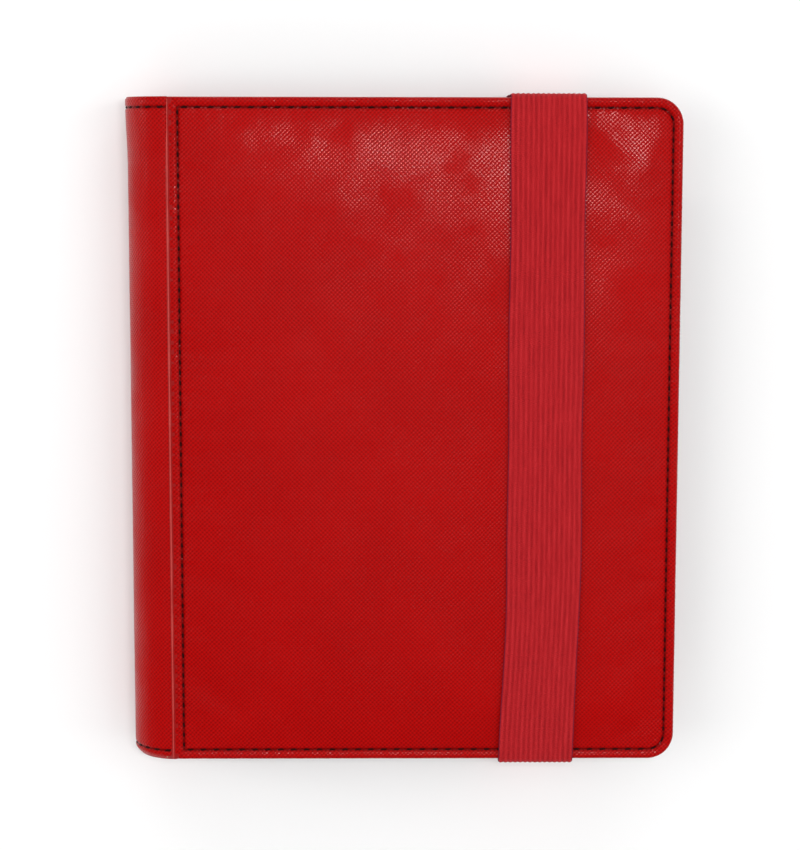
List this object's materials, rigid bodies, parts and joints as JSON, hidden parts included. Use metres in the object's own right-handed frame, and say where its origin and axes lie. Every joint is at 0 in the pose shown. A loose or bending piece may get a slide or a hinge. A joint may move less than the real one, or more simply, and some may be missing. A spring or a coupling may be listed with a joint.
{
  "type": "trading card binder",
  "caption": "Padded side-loading card binder: rounded sewn spine, leather-look covers that open flat, fanned pocket pages and an elastic strap that holds it shut.",
  "frame": {"origin": "on the resting plane, under the middle of the closed binder's box", "axes": "+X from the spine to the fore-edge, +Y from tail to head, +Z from the back cover to the front cover"},
  "size_m": [0.178, 0.218, 0.0317],
  "materials": {
    "cover_leather": "satin, fine cross-hatched grain",
    "padding_foam": "soft open foam",
    "cover_board": "plain grey board",
    "lining_cloth": "fine matte weave",
    "sewing_thread": "twisted thread",
    "page_black": "satin film",
    "pocket_film": "clear film",
    "binding_strip": "matte",
    "elastic_webbing": "ribbed elastic webbing"
  },
  "bodies": {
    "back_cover": {"back_cover_skin": "cover_leather", "back_cover_foam": "padding_foam", "back_cover_board": "cover_board", "back_cover_lining": "lining_cloth", "back_cover_thread": "sewing_thread", "strap_end_head": "elastic_webbing", "strap_end_tail": "elastic_webbing"},
    "spine": {"spine_skin": "cover_leather", "spine_foam": "padding_foam", "spine_board": "cover_board", "spine_lining": "lining_cloth", "spine_thread": "sewing_thread", "page_binding_strip": "binding_strip"},
    "front_cover": {"front_cover_skin": "cover_leather", "front_cover_foam": "padding_foam", "front_cover_board": "cover_board", "front_cover_lining": "lining_cloth", "front_cover_thread": "sewing_thread"},
    "page_01": {"page_sheet_01": "page_black", "page_pockets_01": "pocket_film"},
    "page_02": {"page_sheet_02": "page_black", "page_pockets_02": "pocket_film"},
    "page_03": {"page_sheet_03": "page_black", "page_pockets_03": "pocket_film"},
    "page_04": {"page_sheet_04": "page_black", "page_pockets_04": "pocket_film"},
    "page_05": {"page_sheet_05": "page_black", "page_pockets_05": "pocket_film"},
    "page_06": {"page_sheet_06": "page_black", "page_pockets_06": "pocket_film"},
    "page_07": {"page_sheet_07": "page_black", "page_pockets_07": "pocket_film"},
    "page_08": {"page_sheet_08": "page_black", "page_pockets_08": "pocket_film"},
    "page_09": {"page_sheet_09": "page_black", "page_pockets_09": "pocket_film"},
    "page_10": {"page_sheet_10": "page_black", "page_pockets_10": "pocket_film"},
    "page_11": {"page_sheet_11": "page_black", "page_pockets_11": "pocket_film"},
    "page_12": {"page_sheet_12": "page_black", "page_pockets_12": "pocket_film"},
    "page_13": {"page_sheet_13": "page_black", "page_pockets_13": "pocket_film"},
    "page_14": {"page_sheet_14": "page_black", "page_pockets_14": "pocket_film"},
    "page_15": {"page_sheet_15": "page_black", "page_pockets_15": "pocket_film"},
    "page_16": {"page_sheet_16": "page_black", "page_pockets_16": "pocket_film"},
    "page_17": {"page_sheet_17": "page_black", "page_pockets_17": "pocket_film"},
    "page_18": {"page_sheet_18": "page_black", "page_pockets_18": "pocket_film"},
    "page_19": {"page_sheet_19": "page_black", "page_pockets_19": "pocket_film"},
    "page_20": {"page_sheet_20": "page_black", "page_pockets_20": "pocket_film"},
    "strap": {"elastic_strap": "elastic_webbing"}
  },
  "joints": [
    {"name": "spine_fold", "type": "hinge", "parent": "back_cover", "child": "spine", "pos_m": [-0.07475, 0, 0], "axis": [0, -1, 0], "range_deg": [0, 90]},
    {"name": "front_cover_fold", "type": "hinge", "parent": "spine", "child": "front_cover", "pos_m": [-0.07475, 0, 0.0302], "axis": [0, -1, 0], "range_deg": [0, 90]},
    {"name": "page_01_turn", "type": "hinge", "parent": "spine", "child": "page_01", "pos_m": [-0.06895, 0, 0.0246], "axis": [0, -1, 0], "range_deg": [0, 85.5]},
    {"name": "page_02_turn", "type": "hinge", "parent": "spine", "child": "page_02", "pos_m": [-0.06895, 0, 0.0236], "axis": [0, -1, 0], "range_deg": [0, 76.5]},
    {"name": "page_03_turn", "type": "hinge", "parent": "spine", "child": "page_03", "pos_m": [-0.06895, 0, 0.0226], "axis": [0, -1, 0], "range_deg": [0, 67.5]},
    {"name": "page_04_turn", "type": "hinge", "parent": "spine", "child": "page_04", "pos_m": [-0.06895, 0, 0.0216], "axis": [0, -1, 0], "range_deg": [0, 58.5]},
    {"name": "page_05_turn", "type": "hinge", "parent": "spine", "child": "page_05", "pos_m": [-0.06895, 0, 0.0206], "axis": [0, -1, 0], "range_deg": [0, 49.5]},
    {"name": "page_06_turn", "type": "hinge", "parent": "spine", "child": "page_06", "pos_m": [-0.06895, 0, 0.0196], "axis": [0, -1, 0], "range_deg": [0, 40.5]},
    {"name": "page_07_turn", "type": "hinge", "parent": "spine", "child": "page_07", "pos_m": [-0.06895, 0, 0.0186], "axis": [0, -1, 0], "range_deg": [0, 31.5]},
    {"name": "page_08_turn", "type": "hinge", "parent": "spine", "child": "page_08", "pos_m": [-0.06895, 0, 0.0176], "axis": [0, -1, 0], "range_deg": [0, 22.5]},
    {"name": "page_09_turn", "type": "hinge", "parent": "spine", "child": "page_09", "pos_m": [-0.06895, 0, 0.0166], "axis": [0, -1, 0], "range_deg": [0, 13.5]},
    {"name": "page_10_turn", "type": "hinge", "parent": "spine", "child": "page_10", "pos_m": [-0.06895, 0, 0.0156], "axis": [0, -1, 0], "range_deg": [0, 4.5]},
    {"name": "page_11_turn", "type": "hinge", "parent": "spine", "child": "page_11", "pos_m": [-0.06895, 0, 0.0146], "axis": [0, -1, 0], "range_deg": [-4.5, 0]},
    {"name": "page_12_turn", "type": "hinge", "parent": "spine", "child": "page_12", "pos_m": [-0.06895, 0, 0.0136], "axis": [0, -1, 0], "range_deg": [-13.5, 0]},
    {"name": "page_13_turn", "type": "hinge", "parent": "spine", "child": "page_13", "pos_m": [-0.06895, 0, 0.0126], "axis": [0, -1, 0], "range_deg": [-22.5, 0]},
    {"name": "page_14_turn", "type": "hinge", "parent": "spine", "child": "page_14", "pos_m": [-0.06895, 0, 0.0116], "axis": [0, -1, 0], "range_deg": [-31.5, 0]},
    {"name": "page_15_turn", "type": "hinge", "parent": "spine", "child": "page_15", "pos_m": [-0.06895, 0, 0.0106], "axis": [0, -1, 0], "range_deg": [-40.5, 0]},
    {"name": "page_16_turn", "type": "hinge", "parent": "spine", "child": "page_16", "pos_m": [-0.06895, 0, 0.0096], "axis": [0, -1, 0], "range_deg": [-49.5, 0]},
    {"name": "page_17_turn", "type": "hinge", "parent": "spine", "child": "page_17", "pos_m": [-0.06895, 0, 0.0086], "axis": [0, -1, 0], "range_deg": [-58.5, 0]},
    {"name": "page_18_turn", "type": "hinge", "parent": "spine", "child": "page_18", "pos_m": [-0.06895, 0, 0.0076], "axis": [0, -1, 0], "range_deg": [-67.5, 0]},
    {"name": "page_19_turn", "type": "hinge", "parent": "spine", "child": "page_19", "pos_m": [-0.06895, 0, 0.0066], "axis": [0, -1, 0], "range_deg": [-76.5, 0]},
    {"name": "page_20_turn", "type": "hinge", "parent": "spine", "child": "page_20", "pos_m": [-0.06895, 0, 0.0056], "axis": [0, -1, 0], "range_deg": [-85.5, 0]},
    {"name": "strap_release", "type": "hinge", "parent": "back_cover", "child": "strap", "pos_m": [0.046, 0, 0.0028], "axis": [0, 1, 0], "range_deg": [0, 180], "deforming": ["elastic_strap"]}
  ],
  "couplings": [
    {"joint": "front_cover_fold", "follows": "spine_fold", "ratio": 1},
    {"joint": "page_01_turn", "follows": "spine_fold", "ratio": 0.95},
    {"joint": "page_02_turn", "follows": "spine_fold", "ratio": 0.85},
    {"joint": "page_03_turn", "follows": "spine_fold", "ratio": 0.75},
    {"joint": "page_04_turn", "follows": "spine_fold", "ratio": 0.65},
    {"joint": "page_05_turn", "follows": "spine_fold", "ratio": 0.55},
    {"joint": "page_06_turn", "follows": "spine_fold", "ratio": 0.45},
    {"joint": "page_07_turn", "follows": "spine_fold", "ratio": 0.35},
    {"joint": "page_08_turn", "follows": "spine_fold", "ratio": 0.25},
    {"joint": "page_09_turn", "follows": "spine_fold", "ratio": 0.15},
    {"joint": "page_10_turn", "follows": "spine_fold", "ratio": 0.05},
    {"joint": "page_11_turn", "follows": "spine_fold", "ratio": -0.05},
    {"joint": "page_12_turn", "follows": "spine_fold", "ratio": -0.15},
    {"joint": "page_13_turn", "follows": "spine_fold", "ratio": -0.25},
    {"joint": "page_14_turn", "follows": "spine_fold", "ratio": -0.35},
    {"joint": "page_15_turn", "follows": "spine_fold", "ratio": -0.45},
    {"joint": "page_16_turn", "follows": "spine_fold", "ratio": -0.55},
    {"joint": "page_17_turn", "follows": "spine_fold", "ratio": -0.65},
    {"joint": "page_18_turn", "follows": "spine_fold", "ratio": -0.75},
    {"joint": "page_19_turn", "follows": "spine_fold", "ratio": -0.85},
    {"joint": "page_20_turn", "follows": "spine_fold", "ratio": -0.95},
    {"joint": "strap_release", "follows": "spine_fold", "ratio": 2}
  ]
}
